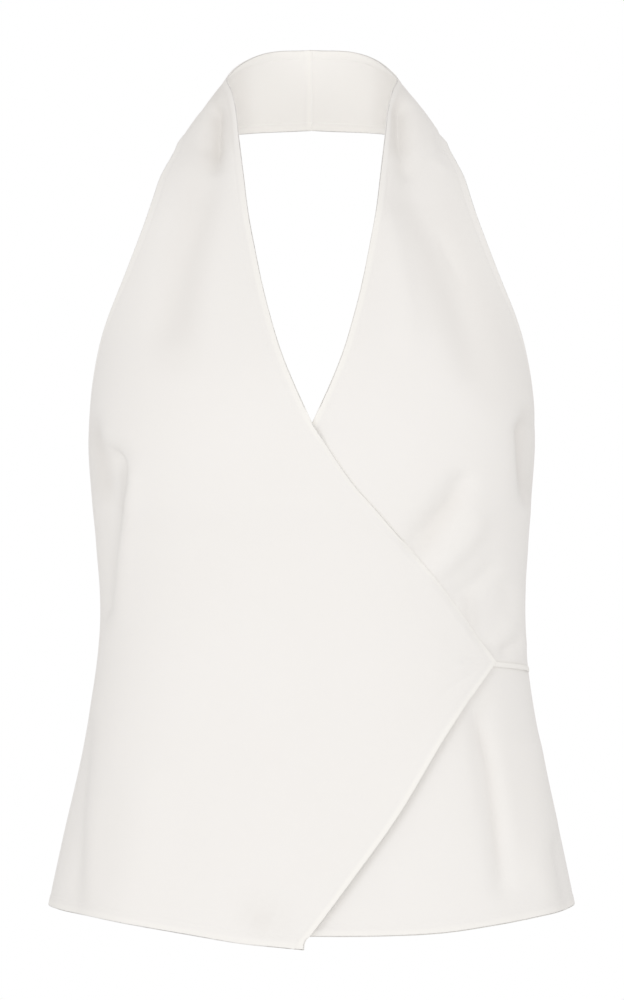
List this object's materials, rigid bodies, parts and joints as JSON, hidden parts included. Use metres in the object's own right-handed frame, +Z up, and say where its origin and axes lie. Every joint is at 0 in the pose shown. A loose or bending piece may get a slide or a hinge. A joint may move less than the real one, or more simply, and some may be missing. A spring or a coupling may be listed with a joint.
{
  "type": "halter neck top",
  "caption": "Sleeveless wrap top in plain cloth with a halter neckband, a low open back and a pointed front hem, holding its worn form.",
  "frame": {"origin": "the nape: on the inner face of the neckband's back seam, halfway up the band, where the wearer's neck or a hanger holds the top", "axes": "+Z up, the front faces -Y, +X towards the wearer's left"},
  "size_m": [0.3884, 0.259, 0.6566],
  "materials": {
    "cloth": "fine plain weave in warm off-white, matt with a faint sheen"
  },
  "bodies": {
    "root": {"front_over": "cloth", "front_under": "cloth", "back_panel": "cloth", "waist_strap": "cloth"}
  },
  "joints": []
}
